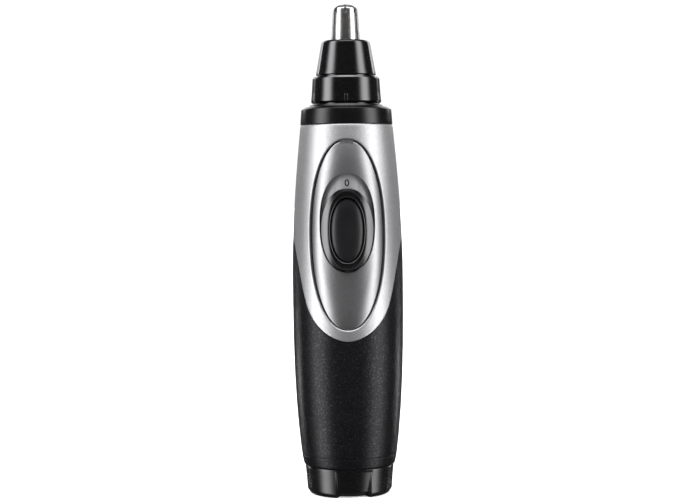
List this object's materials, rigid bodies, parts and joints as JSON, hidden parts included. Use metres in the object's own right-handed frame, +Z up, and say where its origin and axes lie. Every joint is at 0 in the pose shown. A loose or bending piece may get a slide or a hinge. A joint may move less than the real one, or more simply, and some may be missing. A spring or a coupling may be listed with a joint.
{
  "type": "nose hair trimmer",
  "caption": "Upright round battery trimmer with a tapered two-tone body, an oval front panel with a slide switch, a twist-off cutter head and a twist-off battery cover.",
  "frame": {"origin": "centre of the flat bottom face, where the trimmer stands", "axes": "+Z up along the body's axis towards the cutter, the switch faces -Y, +X to the right seen from the front"},
  "size_m": [0.034, 0.0355, 0.15],
  "materials": {
    "silver_paint": "satin metallic",
    "black_flake": "satin with fine metallic flake",
    "black_satin": "satin",
    "black_gloss": "gloss",
    "silver_panel": "gloss metallic",
    "pad_black": "satin",
    "cutter_steel": "polished",
    "blade_steel": "ground",
    "spring_steel": "drawn wire",
    "seal_rubber": "matt",
    "chassis_plastic": "satin",
    "white_plastic": "satin",
    "motor_steel": "plated",
    "magnet": "sintered",
    "bronze": "sintered",
    "contact_brass": "plain",
    "contact_steel": "nickel plated",
    "copper": "enamelled wire",
    "core_steel": "laminated",
    "fan_plastic": "satin",
    "filter_mesh": "fine mesh",
    "cell_jacket": "printed jacket, plain",
    "screw_steel": "zinc plated"
  },
  "bodies": {
    "housing": {"upper_shell": "silver_paint", "lower_shell": "black_flake", "oval_panel": "silver_panel", "panel_seal": "seal_rubber", "switch_floor": "silver_panel", "body_collar": "black_satin", "inner_chassis": "chassis_plastic", "chassis_screws": "screw_steel", "fan_housing": "chassis_plastic", "fan_cover": "chassis_plastic", "shaft_seal": "seal_rubber", "motor_can": "motor_steel", "motor_end_cap": "white_plastic", "motor_magnets": "magnet", "motor_bushes": "bronze", "motor_brushes": "contact_brass", "motor_cushion": "seal_rubber", "positive_contact": "contact_brass", "negative_strip": "contact_brass", "switch_terminals": "contact_brass", "detent_spring": "spring_steel", "battery_cell": "cell_jacket"},
    "rotor": {"motor_shaft": "spring_steel", "rotor_core": "core_steel", "rotor_windings": "copper", "commutator": "copper", "suction_fan": "fan_plastic", "drive_coupling": "white_plastic"},
    "cutter": {"inner_blade": "blade_steel", "cutter_shaft": "spring_steel", "cutter_spring": "spring_steel"},
    "head": {"outer_blade": "cutter_steel", "head_cone": "black_gloss", "head_ring": "black_gloss", "debris_filter": "filter_mesh", "cutter_bush": "white_plastic", "head_seal": "seal_rubber"},
    "cover": {"battery_cover": "black_satin", "cover_seal": "seal_rubber", "negative_spring": "spring_steel", "cover_contact": "contact_steel"},
    "switch": {"slider_plate": "black_gloss", "switch_knob": "black_gloss", "thumb_pad": "pad_black", "switch_wiper": "contact_brass"}
  },
  "joints": [
    {"name": "switch_slide", "type": "slide", "parent": "housing", "child": "switch", "axis": [0, 0.0454, 0.999], "range_m": [0, 0.004]},
    {"name": "rotor_spin", "type": "hinge", "parent": "housing", "child": "rotor", "pos_m": [0, 0, 0.075], "axis": [0, 0, 1], "continuous": true},
    {"name": "cutter_spin", "type": "hinge", "parent": "housing", "child": "cutter", "pos_m": [0, 0, 0.13], "axis": [0, 0, 1], "continuous": true},
    {"name": "head_twist", "type": "hinge", "parent": "housing", "child": "head", "pos_m": [0, 0, 0.118], "axis": [0, 0, 1], "range_deg": [0, 30]},
    {"name": "cover_twist", "type": "hinge", "parent": "housing", "child": "cover", "pos_m": [0, 0, 0.008], "axis": [0, 0, 1], "range_deg": [0, 30]}
  ],
  "couplings": [
    {"joint": "cutter_spin", "follows": "rotor_spin", "ratio": 1}
  ]
}
